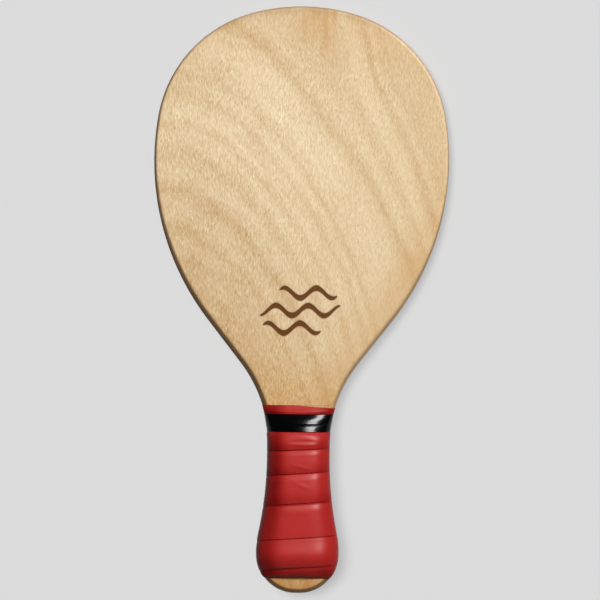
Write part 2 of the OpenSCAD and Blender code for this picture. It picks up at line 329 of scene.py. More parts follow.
class Wire:
    """A socket of a material. Sums written with it become Math nodes."""

    def __init__(self, tree, socket=None):
        self.tree, self.socket = tree, socket

    def node(self, kind, settings=None, inputs=None, out=0):
        """A node of that type: its settings first, then its sockets' values or links."""
        made = self.tree.nodes.new(kind)
        for name, value in (settings or {}).items():
            if name == "stops":
                self.set_stops(made.color_ramp, value)
            else:
                setattr(made, name, value)
        for name, value in (inputs or {}).items():
            socket = made.inputs[name]
            if isinstance(value, Wire):
                self.tree.links.new(value.socket, socket)
            elif socket.type == "RGBA":
                socket.default_value = (*value, 1)
            else:
                socket.default_value = value
        return Wire(self.tree, made.outputs[out] if made.outputs else None)

    def set_stops(self, ramp, stops):
        """Sets a ramp's stops, each a place and a grey from 0 to 1, with eased steps."""
        while len(ramp.elements) < len(stops):
            ramp.elements.new(0.5)
        for stop, (place, grey) in zip(ramp.elements, stops):
            stop.position, stop.color = place, (grey, grey, grey, 1)
        ramp.interpolation = "EASE"

    def math(self, operation, *values, clamp=False):
        return self.node("ShaderNodeMath", {"operation": operation, "use_clamp": clamp},
                         dict(enumerate(values)))

    def __add__(self, other):
        return self.math("ADD", self, other)

    def __radd__(self, other):
        return self.math("ADD", other, self)

    def __sub__(self, other):
        return self.math("SUBTRACT", self, other)

    def __rsub__(self, other):
        return self.math("SUBTRACT", other, self)

    def __mul__(self, other):
        return self.math("MULTIPLY", self, other)

    def __rmul__(self, other):
        return self.math("MULTIPLY", other, self)

    def __truediv__(self, other):
        return self.math("DIVIDE", self, other)

    def __rtruediv__(self, other):
        return self.math("DIVIDE", other, self)

    def __pow__(self, other):
        return self.math("POWER", self, other)

    def __abs__(self):
        return self.math("ABSOLUTE", self)

    def at_least(self, other):
        """The greater of the two."""
        return self.math("MAXIMUM", self, other)

    def step(self, low, high):
        """0 below low, 1 above high, and a soft step between."""
        return self.node("ShaderNodeMapRange", {"interpolation_type": "SMOOTHSTEP"},
                         {"Value": self, "From Min": low, "From Max": high})

    def blend(self, share, first, second, **settings):
        """A colour between two others, by a share from 0 to 1."""
        return self.node("ShaderNodeMix", {"data_type": "RGBA", **settings},
                         {"Factor": share, 6: first, 7: second}, out=2)

    def toward(self, shade, share):
        """This colour, mixed toward another by a share from 0 to 1."""
        return self.blend(share, self, shade)

    def stained(self, shade, share):
        """This colour, multiplied by another by a share from 0 to 1."""
        return self.blend(share, self, shade, blend_type="MULTIPLY")

    def vector(self, x, y, z):
        return self.node("ShaderNodeCombineXYZ", None, {"X": x, "Y": y, "Z": z})

    def noise(self, place, scale, detail=2.0, rough=0.5):
        """Soft noise from 0 to 1, with a place in millimetres and a scale per millimetre."""
        return self.node("ShaderNodeTexNoise", {"noise_dimensions": "3D"},
                         {"Vector": place, "Scale": scale, "Detail": detail,
                          "Roughness": rough})


class Finish:
    """A new material, with wires for where a point lies, in millimetres."""

    def __init__(self, name):
        self.material = bpy.data.materials.new(name)
        self.material.use_nodes = True
        tree = self.material.node_tree
        tree.nodes.clear()
        self.wire = Wire(tree)
        place = self.wire.node("ShaderNodeTexCoord", out="Object")
        self.place = self.wire.node("ShaderNodeVectorMath", {"operation": "SCALE"},
                                    {0: place, "Scale": 1 / MM})
        self.x, self.y, self.z = (
            self.wire.node("ShaderNodeSeparateXYZ", None, {0: self.place}, out=i)
            for i in range(3))

    def noise(self, stretch, *noise):
        """Soft noise from 0 to 1, drawn out along each axis whose stretch is small."""
        place = [axis * share for axis, share in zip((self.x, self.y, self.z), stretch)]
        return self.wire.noise(self.wire.vector(*place), *noise)

    def painted_shade_side(self):
        """Where the rim gets painted shade: all down the left side and round the butt, which
        face away from the light.
        """
        left = ((1 - (self.x * 0.75 + self.y * 0.65).step(-20, 90))
                * (1 - self.x.step(-12, 12)))
        return left.at_least(1 - self.y.step(-190, -150))

    def close(self, base, rough, height, lift, others=None):
        """The shader itself. Lift is the height of its bumps in millimetres."""
        bump = self.wire.node("ShaderNodeBump", None,
                              {"Strength": 1.0, "Distance": lift * MM, "Height": height})
        shader = self.wire.node("ShaderNodeBsdfPrincipled", None,
                                {"Base Color": base, "Roughness": rough, "Normal": bump,
                                 **(others or {})})
        self.wire.node("ShaderNodeOutputMaterial", None, {"Surface": shader})
        return self.material


# Wood figure.
# The bands of the face follow ovals about a point below the butt. Each stop is
# a size of the oval in millimetres, and how pale the wood is there.
FIGURE = [(205, 0.16), (222, 0.28), (236, 0.36), (242, 0.20), (251, 0.56), (260, 0.38),
          (267, 0.18), (275, 0.58), (284, 0.64), (292, 0.46), (300, 0.76), (306, 0.80),
          (312, 0.58), (320, 0.92), (328, 0.80), (333, 0.60), (341, 0.92), (348, 0.58),
          (356, 0.88), (372, 0.94), (385, 0.84), (394, 0.37), (400, 0.64), (404, 0.74),
          (420, 0.54), (428, 0.62), (436, 0.88), (446, 0.76), (457, 0.38), (466, 0.70),
          (474, 0.46), (490, 0.52)]
FIGURE_LONG = 600
# The ovals' middle, measured from the paddle's, and their width as a share of their length
FIGURE_X, FIGURE_Y, FIGURE_NARROW = -90, -205, 0.48


class FaceWood(Finish):
    """Finish of a face ply. Side is 1 on the front and -1 on the back.

    Heights are from the paddle's middle: the butt lies at -200 and the tip at 200.
    """

    def __init__(self, name, colours, sizes, side):
        super().__init__(name)
        self.colours, self.sizes, self.side = colours, sizes, side
        # The back follows the same sums, mirrored and at another place in the noise
        self.across = self.x * side
        self.shift = 0 if side > 0 else 37
        self.oval, self.turn = self.ovals(10 if side > 0 else 60)
        self.left = 1 - (self.across - self.y * 0.35).step(-70, 60)
        self.butt = 1 - self.y.step(-192, -180)
        self.mottle = self.speckle(7, 0.5, 0.10, 3.0, 0.65)
        self.haze = self.speckle(31, 0.8, 0.028, 3.0, 0.6)
        # Fibres, hairs and pores run up and down the blade
        self.fibre = self.speckle(0, 0.22, 0.66, 3.0, 0.88)
        self.hair = self.speckle(3, 0.16, 1.9, 1.0, 0.8)
        self.pores = self.speckle(11, 0.2, 1.7, 1.0).step(0.12, 0.24)
        self.streak = self.along_bands(20, 26, 0.42, 3.0, 0.65)

    def speckle(self, layer, squash, *noise):
        """Noise about 0, drawn out along the blade where squash is small."""
        w = self.wire
        place = w.vector(self.across, self.y * squash, self.shift + layer)
        return w.noise(place, *noise) - 0.5

    def along_bands(self, layer, fine, *noise):
        """Noise about 0 that follows the bands."""
        w = self.wire
        return w.noise(w.vector(self.oval, self.turn * fine, self.shift + layer), *noise) - 0.5

    def ovals(self, bend):
        """Size of the oval through a place, and the place's angle about their middle."""
        out, up = (self.across - FIGURE_X) / FIGURE_NARROW, self.y - FIGURE_Y
        size = (out * out + up * up) ** 0.5
        turn = self.wire.math("ARCTAN2", up, out)
        # The bands rise a little where they fan out to the left, and lean outward at the tip
        rise = turn.step(0.95, 1.6) * 12
        lean = turn.step(0.85, 1.05) * (size + self.across * 0.2).step(412, 470) * 34
        # Those low on the right spread apart
        spread = (1 - turn).at_least(0) * size.step(355, 390) * (1 - size.step(420, 452)) * 42
        sway = (self.speckle(0, 1, 0.014, 1.0) * bend
                + self.speckle(50, 1, 0.06, 3.0, 0.6) * 9)
        return size - rise - lean - spread + sway, turn

    def pale(self):
        """How pale the wood is: 0 as the deep colour, 1 as the pale one, and a bit beyond."""
        y, oval, turn, left, butt = self.y, self.oval, self.turn, self.left, self.butt
        bands = self.wire.node("ShaderNodeValToRGB",
                               {"stops": [(at / FIGURE_LONG, grey) for at, grey in FIGURE]},
                               {"Fac": oval / FIGURE_LONG})
        low_right = (1 - turn.step(0.80, 0.96)) * oval.step(285, 310) * (1 - oval.step(380, 400))
        high_left = turn.step(1.22, 1.48) * oval.step(305, 345)
        handle = 1 - y.step(-70, -20)
        # Fine bands fan out on the left, and the fibres show more there
        fan = self.along_bands(90, 42, 0.13, 2.0, 0.55) * (0.16 + left * 0.52)
        fibre = self.fibre * (0.29 + left * 0.20)
        hair = self.hair * (1.40 + left * 0.85 + handle * 0.75) * (self.mottle * 1.3 + 1)
        grain = self.speckle(44, 0.10, 0.38, 2.0, 0.6) * butt * 2.4
        return (bands * 0.93 + 0.05 - low_right * 0.12 - high_left * 0.20
                + butt * (y.step(-198, -188) * 0.42 - 0.11)
                + fan + fibre + hair + grain + self.streak * 0.14 + self.mottle * 0.06)

    def warmth(self, pale):
        """How far the wood turns orange."""
        x, y, haze = self.across, self.y, self.haze
        # Near the tip, most of all in a streaked patch
        tip = (y + haze * 50).step(140, 205)
        patch = 1 - (((x - 19) / 24) ** 2 + ((y - 194) / 34) ** 2).step(0.2, 1.3)
        drip = self.speckle(60, 0.12, 0.11, 2.0).step(-0.12, 0.16)
        # Low on the right, along the left rim, in the outer bands and in hazy patches
        low = (x * 0.8 - y * 0.45 + haze * 40).step(20, 60)
        left_rim = (x * -0.98 + abs(y - 95) * 0.3).step(78, 104)
        outer = self.oval.step(440, 458) * (1 - pale)
        return self.wire.math("ADD", tip * 0.26 + patch * drip * 0.55,
                              low * 0.47 + left_rim * 0.08 + outer * 0.14
                              + haze.step(0, 0.3) * 0.12, clamp=True)

    def scorch(self, base):
        """Adds the burnt lines and the soft brown edge that the heat leaves round them."""
        near, core = 0, 0
        for middle, long, shift in mark_lines():
            along = self.x - shift
            turn = along * (2 * math.pi * WAVES / MARK_LONG)
            line = self.wire.math("SINE", turn) * WAVE_HIGH + middle
            u = abs(along / (long / 2))
            thin = (1 - u ** 4).at_least(0) ** 0.5 * (WAVE_STROKE / 2)
            out = abs(self.y - line) - thin + (u - 1).at_least(0) * (long / 2)
            near = (1 - out.step(-0.2, 1.1)).at_least(near)
            core = (1 - out.step(-0.35, 0.12)).at_least(core)
        grain = self.speckle(5, 0.2, 1.6, 2.0, 0.6) - 0.1
        burnt = self.wire.math("ADD", core, core * grain * 0.3, clamp=True)
        base = base.toward(self.colours.edge_deep, near * 0.30)
        return base.toward(self.colours.burnt, burnt), core

    def build(self):
        """The material, from the bands up to the rim."""
        c, sizes, x, y = self.colours, self.sizes, self.across, self.y
        pale = self.pale()
        base = self.wire.blend(pale.at_least(-0.35), c.wood_deep, c.wood_pale,
                               clamp_factor=False)
        base = base.toward(c.wood_warm, self.warmth(pale))
        # Faint pink patches on the left, and the stain of hands at neck and butt
        blush = self.speckle(70, 1, 0.05, 3.0, 0.6).step(-0.12, 0.16)
        base = base.toward(c.wood_blush, blush * self.left * 0.20)
        neck = 1 - (y + x * 0.25 + self.haze * 40).step(-84, -26)
        base = base.stained(c.wood_aged, neck).stained(c.wood_aged, self.butt * 0.1)
        base = base.toward(c.edge_pale, self.pores * (self.mottle * 1.3 + 0.55))
        # The rounded rim is burnished darker all round, darker still over the lower half, with
        # painted shade down the left side and round the butt where they face away from the
        # light, and darker at the tip
        deep = sizes.thickness / MM / 2 - self.z * self.side
        rim, shaded_rim = deep.step(0.02, 0.85), (deep - self.butt * 0.14).step(0.005, 0.48)
        tip_edge = (y + x * x / 252).step(193, 200)
        base = base.toward(c.edge_deep, rim * (0.10 + (1 - y.step(-60, 60)) * 0.12)
                           + shaded_rim * self.painted_shade_side() * 0.68 + tip_edge * 0.30)
        glue = (deep - (sizes.face_ply / MM - 0.08)).step(0, 0.06)
        base = base.toward(c.glue, glue * 0.5)
        rough = 0.46 + self.fibre * 0.22 + rim * 0.08
        if self.side > 0:
            base, core = self.scorch(base)
            rough = rough + core * 0.4
        height = self.fibre * 0.6 - self.pores * 0.7 + self.hair * 0.4 + self.streak * 0.3
        return self.close(base, rough, height, 0.07,
                          {"Specular IOR Level": 0.34, "Coat Weight": 0.04,
                           "Coat Roughness": 0.35})


def edge_wood(colours, name, pale, cross):
    """Finish of an inner ply, of which only the edge is seen."""
    finish = Finish(name)
    drawn = 0.9 if cross else 0.12
    grain = finish.noise((drawn, drawn, 6), 1.4, 3.0, 0.7) - 0.5
    slow = finish.noise((0.5, 0.5, 1), 0.06, 2.0) - 0.5
    dots = finish.noise((1, 1, 1.5), 3.0, 0.0).step(0.66, 0.76)
    base = finish.wire.blend(pale + grain * 0.9 + slow * 0.5,
                             colours.edge_deep, colours.edge_pale)
    # Painted shade on the ply edges down the left side and round the butt
    base = base.toward(colours.edge_deep, finish.painted_shade_side() * 0.6)
    base = base.toward(colours.glue, dots * (0.5 if cross else 0.2))
    return finish.close(base, 0.58 + grain * 0.3, grain, 0.08)


def cheek_wood(colours):
    """Finish of the two cheeks under the wrap: plain straight-grained wood."""
    finish = Finish("cheek_wood")
    grain = finish.noise((1, 0.08, 1), 0.7, 3.0, 0.65)
    base = finish.wire.blend(grain, colours.wood_deep, colours.wood_pale)
    return finish.close(base, 0.35 + grain * 0.3, grain, 0.06)


def wrap_skin(colours):
    """Finish of the grip wrap: soft-gloss red skin with a fine leather grain."""
    finish = Finish("wrap_red")
    w = finish.wire
    crease = w.node("ShaderNodeAttribute", {"attribute_name": "crease"}, out="Fac")
    cloud = w.noise(finish.place, 0.07, 3.0, 0.55) - 0.5
    grain = w.node("ShaderNodeTexVoronoi", {"feature": "SMOOTH_F1"},
                   {"Vector": finish.place, "Scale": 1.5, "Smoothness": 0.6})
    pull = finish.noise((0.12, 1, 0.12), 0.75, 3.0, 0.6)
    # Painted shade in the seams, round the bottom and down the sides, with random cloudy
    # patches, turns the red deeper
    dark = w.math("ADD", crease * 0.85, cloud * 0.30, clamp=True)
    # The coat is taken off where the painted shade lies: in the seams, round the bottom and down
    # the sides
    gloss = 0.42 - crease.step(0.10, 0.55) * 0.42
    return finish.close(w.blend(dark, colours.wrap, colours.wrap_deep_and_shade),
                        0.38 + cloud * 0.16 + pull * 0.10,
                        grain * 0.45 + pull * 0.8, 0.05,
                        {"Specular IOR Level": 0.12, "Coat Roughness": 0.42,
                         "Coat Weight": gloss})


def tape_skin(colours):
    """Finish of the finishing tape: stretched, glossy black film with a little dust."""
    finish = Finish("tape_black")
    pull = finish.noise((0.10, 1.2, 0.10), 0.5, 3.0, 0.6)
    dust = finish.wire.noise(finish.place, 0.8, 3.0, 0.7)
    base = finish.wire.blend(dust.step(0.55, 0.85) * 0.015, colours.tape, (0.16, 0.16, 0.17))
    return finish.close(base, 0.16 + dust * 0.06, pull, 0.015, {"Specular IOR Level": 0.25})


# Handle.
class Handle:
    """The handle's core, over which the wrap and the tape are wound."""
    # How far under the face the core's rounding starts, and its gap beside the plywood
    rim, gap = 2.7, 0.1
    # Height and sharpness of the bevels between the core's top and its sides
    full, bevel = 1.08, 16

    def __init__(self, scene):
        self.outline = Outline(scene.paddle_sizes)
        self.mm = Millimetres(scene.grip_sizes)
        self.half_thick = self.outline.half_thick

    def slope(self, d, run):
        """The rounded slope at an end, from 0 to 1 over its length."""
        s = min(max(d / run, 0), 1)
        return 1 - (1 - s) ** 2

    def cheek(self, y):
        """Height of a cheek over the face at height y."""
        m, o = self.mm, self.outline
        share = min(max((o.waist - y) / (o.waist - o.butt), 0), 1)
        crown = m.cheek_waist + (m.cheek_butt - m.cheek_waist) * share
        return m.cheek_end + (crown - m.cheek_end) * (
            self.slope(y - m.bottom, m.butt_slope) * self.slope(m.top - 2 - y, m.neck_slope))

    def bevelled(self, high):
        """The height share of a section whose top is cut flatter, between soft bevels."""
        return (self.full ** -self.bevel + 1) ** (1 / self.bevel) / (
            (self.full * high) ** -self.bevel + 1) ** (1 / self.bevel)

    def point(self, y, turn, out):
        """A point outside the core. Turn 0 is the left edge, 0.25 the middle of the front."""
        a = math.pi - 2 * math.pi * turn
        c, s = math.cos(a), math.sin(a)
        rise = self.rim + self.cheek(y)
        under_tape = smooth(y, 104, 111)
        # Nearly an ellipse, squarer where the cheek is thin and rounder under the tape
        power = 2.15 + 6 * (self.rim / rise) ** 4 - 0.25 * under_tape
        far = (abs(c) ** power + abs(s) ** power) ** (1 / power)
        high = abs(s) / far
        if high > 0:
            flatter = smooth(rise, 5, 10) * (1 - under_tape)
            high += (self.bevelled(high) - high) * flatter
        # The upright wall at the sides, from the back half to the front half
        wall = math.tanh(5 * s) / math.tanh(5)
        # The wrap is a little thinner at the sides, most of all on the right
        share = (0.45 - 0.22 * smooth(c, -0.2, 0.8)) * (1 - smooth(y, 116, 128))
        wide = self.outline.half_at(y) + self.gap + share * min(out, 1.5)
        return Vector((wide * c / far,
                       y - self.outline.long / 2,
                       (self.half_thick - self.rim) * wall
                       + (rise + out) * math.copysign(high, s)))


def between(knots, u):
    """The value at u on straight lines through knots, each a place and a value."""
    for (u0, s0), (u1, s1) in zip(knots, knots[1:]):
        if u <= u1 or (u1, s1) == knots[-1]:
            return s0 + (s1 - s0) * (u - u0) / (u1 - u0)


# Wrap.
# The turns at which the strip starts and ends, and its cuts to a turn
WRAP_FIRST, WRAP_LAST, WRAP_CUTS = -1.0, 6.5, 120
# The strip is left out where it would be narrower than this
THIN_STRIP = 1.2
# How high the wrap stands off the core under the tape
SQUEEZED = 0.42
# Heights of the wrap's lower edge at each half turn, from the left edge, where
# the seams cross the two sides of the handle
WRAP_SEAMS = [(-1.5, -8), (-1, -3), (-0.5, 0.5), (0, 14.6), (0.5, 20.2), (1, 34.7),
              (1.5, 40.2), (2, 58.4), (2.5, 63.6), (3, 79.2), (3.5, 83.5), (4, 96.0),
              (4.5, 99.0), (5, 110.5), (5.5, 113), (6, 128), (6.5, 130), (7, 142)]
# How far each turn puffs up between its seams, by height above the butt
PUFF = [(-20, 0.7), (30, 0.8), (48, 0.9), (66, 1.6), (88, 1.3), (104, 1.1), (160, 0.8)]
# Wrinkles on the front: each is its two ends, across and above the butt, then its
# half width and its height, all in millimetres
WRINKLES = [((-8, 103.4), (15, 103.9), 1.0, -0.40), ((-10, 101.6), (16, 101.3), 1.0, 0.34),
            ((-6, 88.2), (11, 84.2), 1.0, 0.28), ((-5, 76.4), (10, 70.9), 1.1, 0.30),
            ((-2, 56.6), (9, 54.6), 1.4, 0.14), ((-12, 27.5), (8, 29.5), 2.0, 0.10)]


def wrinkle_at(x, y):
    """Height of the wrinkles at a place on the front."""
    total = 0
    for (x0, y0), (x1, y1), wide, high in WRINKLES:
        t = (x - x0) / (x1 - x0)
        if 0 < t < 1:
            total += high * math.sin(math.pi * t) ** 1.3 * math.exp(
                -((y - y0 - (y1 - y0) * t) / wide) ** 2)
    return total


def squeeze(mm, y):
    """How hard the tape pulls the wrap in at height y, from 0 to 1."""
    return smooth(y, mm.tape_bottom - 1.6, mm.tape_bottom + 0.2) * (
        1 - smooth(y, mm.tape_top - 0.2, mm.tape_top + 1.4))


class WrapBand:
    """A cut across the wound strip, u turns up from the butt's left edge."""
    across, under = 34, 12

    def __init__(self, handle, u):
        m = handle.mm
        self.handle, self.m, self.turn = handle, m, u % 1
        self.low, self.next_low = between(WRAP_SEAMS, u), between(WRAP_SEAMS, u + 1)
        self.lapped = self.low > m.bottom
        right = smooth(-math.cos(2 * math.pi * u), -0.2, 0.9)
        self.start = max(self.low, m.bottom)
        self.end = min(self.next_low + m.lap, m.top - 1.6 * right)

    def shown(self, y):
        """0 at this turn's lower edge and 1 at the next turn's."""
        return (y - self.low) / (self.next_low - self.low)

    def over(self, y):
        """How much the turn below lifts this one, from 0 to 1."""
        return 1 - smooth(self.shown(y), 0.1, 0.85) if self.lapped else 0

    def pillow(self, y):
        """How far the turn puffs up between its seams, as a share."""
        shown = self.shown(y)
        if not 0 < shown < 1.04:
            return 0
        # The lowest band is rounder than the others
        round_one = 1 - smooth(self.low, 21, 33) if self.lapped else 0
        return (smooth(shown, -0.1, 0.62 - 0.12 * round_one) ** 0.7
                * (1 - 0.9 * smooth(shown, 0.80 - 0.34 * round_one, 1.04))
                * (1 + 0.78 * round_one))

    def lift(self, y):
        """Height of the strip's outer face off the core."""
        thick, bottom, tight = self.m.wrap, self.m.bottom, squeeze(self.m, y)
        edge = smooth(y - self.start, 0, 0.9)
        loose = (0.12 + thick * (0.42 + 0.58 * edge + 0.40 * self.over(y))
                 + between(PUFF, y) * self.pillow(y) * edge)
        lift = loose * (1 - tight) + SQUEEZED * tight
        # It dives under the next turn, and thins toward the wrap's bottom
        lift -= 0.6 * thick * smooth(y, self.next_low - 0.2, self.next_low + 1.2)
        return lift * (0.5 + 0.5 * smooth(y, bottom, bottom + 2.5))

    def crease(self, x, y):
        """How much painted shade darkens the skin at a place on the outer face."""
        # Painted shade in the seams: along a lapped turn's lower edge and where it dives under
        # the next turn
        seam = max(1 - (y - self.start) / 1.1 if self.lapped else 0,
                   smooth(y, self.next_low - 0.5, self.next_low))
        # Painted shade down the two sides, where the light falls away, and further in on the
        # left
        x /= self.handle.outline.half_at(y)
        side = 0.45 * smooth(abs(x), 0.40, 0.80) + 0.12 * smooth(abs(x), 0.80, 0.95)
        left = smooth(-x, 0.22, 0.62) * (1 - smooth(-x, 0.70, 0.95))
        # Painted shade above each lower edge, round the bottom and over the tape
        shade = 0.42 * (1 - smooth(y, 14, 20)) + 0.25 * smooth(y, 121.5, 122.5)
        if self.lapped:
            shade += 0.35 * (1 - smooth(self.shown(y), 0, 0.5)) * smooth(y, 50, 64)
        return (seam * (1 - squeeze(self.m, y)) + side + shade
                + (0.18 + 0.22 * smooth(y, 48, 62)) * left)

    def section(self):
        """Points round the strip's section, and how much painted shade the skin gets at each."""
        ring, marks = [], []
        span = self.end - self.start
        # Outer face, from the lower edge up, with its rows closest together there
        for j in range(self.across + 1):
            v = j / self.across
            v = v ** 1.6 + (v - v ** 1.6) * smooth(v, 0.5, 1)
            y = self.start + span * v
            lift = self.lift(y)
            p = self.handle.point(y, self.turn, lift)
            if p.z > 0:
                p = self.handle.point(y, self.turn, lift + wrinkle_at(p.x, y))
            ring.append(p)
            marks.append(self.crease(p.x, y))
        # Inner face, back down
        for j in range(self.under + 1):
            y = self.end - span * j / self.under
            gap = 0.36 * self.m.wrap * self.over(y) * (1 - squeeze(self.m, y))
            ring.append(self.handle.point(y, self.turn, 0.05 + gap))
            marks.append(1)
        return ring, marks


def build_wrap(handle):
    """One strip, wound from the butt to the neck, each turn lapped over the one below."""
    rings, marks = [], []
    count = int((WRAP_LAST - WRAP_FIRST) * WRAP_CUTS)
    for i in range(count + 1):
        band = WrapBand(handle, WRAP_FIRST + (WRAP_LAST - WRAP_FIRST) * i / count)
        if band.end - band.start >= THIN_STRIP:
            ring, dark = band.section()
            rings.append(ring)
            marks += dark
    piece = skin("grip_wrap_cover", rings)
    # Each point keeps its painted shade for the wrap's material
    crease = piece.data.attributes.new("crease", "FLOAT", "POINT")
    crease.data.foreach_set("value", [min(mark, 1) for mark in marks])
    return piece


# Tape.
# Heights of the tape's lower and upper edge over its turns, from the back
TAPE_LOW = [(0, 109.9), (0.75, 109.9), (1.0, 110.6), (1.25, 112.6), (1.75, 115.0),
            (2.2, 113.4)]
TAPE_HIGH = [(0, 119.8), (0.5, 121.0), (1.0, 122.2), (2.2, 122.2)]
# Its turns, the cuts to a turn and the turn at which it starts
TAPE_TURNS, TAPE_CUTS, TAPE_START = 2.2, 144, 0.75
# Heights over the core of the tape's underside and of its edges
TAPE_UNDER, TAPE_OVER = 0.44, 0.62
# Rows of points below the fold's upper edge, and as many above it
TAPE_ROWS = 28
# The fold in the tape on the front: its lower and upper edge, and its depth
FOLD_LOW, FOLD_HIGH, FOLD_DEEP = 113.8, 115.4, 0.5


def tape_heights(a, b):
    """Heights across the tape between its edges, close together where the fold ends."""
    low, high = FOLD_HIGH - 0.02, FOLD_HIGH + 0.02
    return [start + (end - start) * j / TAPE_ROWS
            for start, end in ((a, low), (high, b)) for j in range(TAPE_ROWS + 1)]


def fold_at(x, y):
    """How deep the tape's front lies: a fold that deepens to the right, and a swelling."""
    deep = -0.22 * math.exp(-((y - 118.6) / 2.3) ** 2) * smooth(x, -12, 8)
    if FOLD_LOW < y < FOLD_HIGH:
        deep += FOLD_DEEP * (y - FOLD_LOW) / (FOLD_HIGH - FOLD_LOW) * smooth(x, -14, 6)
    return deep


def build_tape(handle):
    """Two pulled-tight turns of tape, the second lapped over the first."""
    thick = handle.mm.tape
    rings = []
    count = int(TAPE_TURNS * TAPE_CUTS)
    for i in range(count + 1):
        u = TAPE_TURNS * i / count
        t = (u + TAPE_START) % 1
        a, b = between(TAPE_LOW, u), between(TAPE_HIGH, u)
        layer = thick * (smooth(u, 0.85, 1.1) * 1.2 + smooth(u, 1.9, 2.15) * 1.1)
        outer, inner = [], []
        for y in tape_heights(a, b):
            edge = math.sqrt(min(min(y - a, b - y) / 0.4, 1))
            front = math.sin(2 * math.pi * t) > 0
            deep = fold_at(handle.point(y, t, 0).x, y) if front else 0
            outer.append(handle.point(y, t, TAPE_OVER + layer + (thick - deep) * edge))
            in_fold = FOLD_LOW < y < FOLD_HIGH
            inner.append(handle.point(y, t, TAPE_UNDER + (0 if in_fold else layer * 0.5)))
        rings.append(outer + inner[::-1])
    return skin("finishing_tape_film", rings)


# Plies.
# Depths of the rows of points under the face, close together where the rim starts
RIM_ROWS = [0.16, 0.1, 0.05, 0.015, 0]


def rim_inset(depth, radius):
    """How far the rounded rim draws in at a depth below the face."""
    s = min(max(1 - depth / radius, 0), 1)
    return radius * (1 - math.sqrt(1 - s * s))


def build_ply(name, outline, sizes, z0, z1):
    """One ply between two heights of the front half, with its share of the rim."""
    points = []
    for p, n in outline.points(2.0):
        low = 1 - smooth(p.y, 190, 310)
        points.append((p, n, (sizes.rim + (sizes.low_rim - sizes.rim) * low) / MM))
    half = outline.half_thick
    steps = max(1, round((z1 - z0) / 0.25))
    levels = [z0 + (z1 - z0) * i / steps for i in range(steps + 1)]
    if z1 > half - 0.01:
        levels = levels[:-1] + [half - depth for depth in RIM_ROWS]
    rings = []
    for z in levels:
        insets = [rim_inset(half - z, radius) for _, _, radius in points]
        rings.append([Vector((p.x - n.x * inset, p.y - n.y * inset - outline.long / 2, z))
                      for (p, n, _), inset in zip(points, insets)])
    return skin(name, rings)


def build_wave(middle, long, shift, half):
    """A cutter for one wavy line, down from above the front face."""
    count = 96
    low, high = [], []
    for i in range(count + 1):
        t = i / count
        x = shift + long * (t - 0.5)
        y = middle + WAVE_HIGH * math.sin(2 * math.pi * WAVES * (x - shift) / MARK_LONG)
        thin = WAVE_STROKE / 2 * math.sqrt(max(1 - (2 * t - 1) ** 4, 0))
        low.append((x, y - thin))
        high.append((x, y + thin))
    ring = low + high[-2:0:-1]
    return skin("wave", [[Vector((x, y, z)) for x, y in ring]
                         for z in (half - MARK_DEEP, half + 1)])


def build_land(outline, sizes, grip):
    """A cutter for the place planed lower under the handle's cheeks and wrap."""
    wide, low = 60, -outline.long / 2 - 5
    high = grip.top / MM + 0.15 - outline.long / 2
    floor = outline.half_thick - sizes.land / MM
    return skin("land", [[Vector((-wide, low, z)), Vector((wide, low, z)),
                          Vector((wide, high, z)), Vector((-wide, high, z))]
                         for z in (floor, floor + 3)])


class PADDLE_OT_plies(bpy.types.Operator):
    """Build the seven plies of the blade, with their rounded rim and burnt lines."""
    bl_idname = "paddle.plies"
    bl_label = "Plies"

    def execute(self, context):
        scene = context.scene
        sizes, colours = scene.paddle_sizes, scene.paddle_colours
        outline = Outline(sizes)
        half, face = outline.half_thick, sizes.face_ply / MM
        inner = (2 * half - 2 * face) / 5
        levels = [half, half - face] + [half - face - inner * i for i in range(1, 4)]
        front = FaceWood("face_front", colours, sizes, 1).build()
        back = FaceWood("face_back", colours, sizes, -1).build()
        cross = edge_wood(colours, "edge_cross", 0.68, True)
        straight = edge_wood(colours, "edge_straight", 1.0, False)
        # Each ply's node, its place in from the face, its side, its material and its slot
        plan = [("ply_1_front", 0, 1, front, "face_wood"), ("ply_2", 1, 1, cross, "cross_wood"),
                ("ply_3", 2, 1, straight, "face_wood"),
                ("ply_4_middle", 3, 1, cross, "cross_wood"),
                ("ply_5", 2, -1, straight, "face_wood"), ("ply_6", 1, -1, cross, "cross_wood"),
                ("ply_7_back", 0, -1, back, "face_wood")]
        for node, layer, side, material, slot in plan:
            low = -levels[3] if layer == 3 else levels[layer + 1]
            piece = build_ply(node + "_wood", outline, sizes, low, levels[layer])
            if layer == 0:
                waves = [build_wave(*line, half) for line in mark_lines() if side > 0]
                carve(piece, [build_land(outline, sizes, scene.grip_sizes)] + waves)
            if side < 0:
                piece.data.transform(Matrix.Scale(-1, 4, (0, 0, 1)))
                piece.data.flip_normals()
            finish_piece(piece, node, material)
        return {"FINISHED"}


class PADDLE_OT_cheeks(bpy.types.Operator):
    """Give the two cheeks of the handle their wood."""
    bl_idname = "paddle.cheeks"
    bl_label = "Cheeks"

    def execute(self, context):
        material = cheek_wood(context.scene.paddle_colours)
        for node in ("cheek_front", "cheek_back"):
            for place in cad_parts[node].material_slots:
                place.material = material
        return {"FINISHED"}


class PADDLE_OT_grip_wrap(bpy.types.Operator):
    """Wind the cushioned red wrap round the handle."""
    bl_idname = "paddle.grip_wrap"
    bl_label = "Grip wrap"

    def execute(self, context):
        finish_piece(build_wrap(Handle(context.scene)), "grip_wrap",
                     wrap_skin(context.scene.paddle_colours))
        return {"FINISHED"}


class PADDLE_OT_finishing_tape(bpy.types.Operator):
    """Wind the black finishing tape over the wrap near the neck."""
    bl_idname = "paddle.finishing_tape"
    bl_label = "Finishing tape"

    def execute(self, context):
        finish_piece(build_tape(Handle(context.scene)), "finishing_tape",
                     tape_skin(context.scene.paddle_colours))
        return {"FINISHED"}


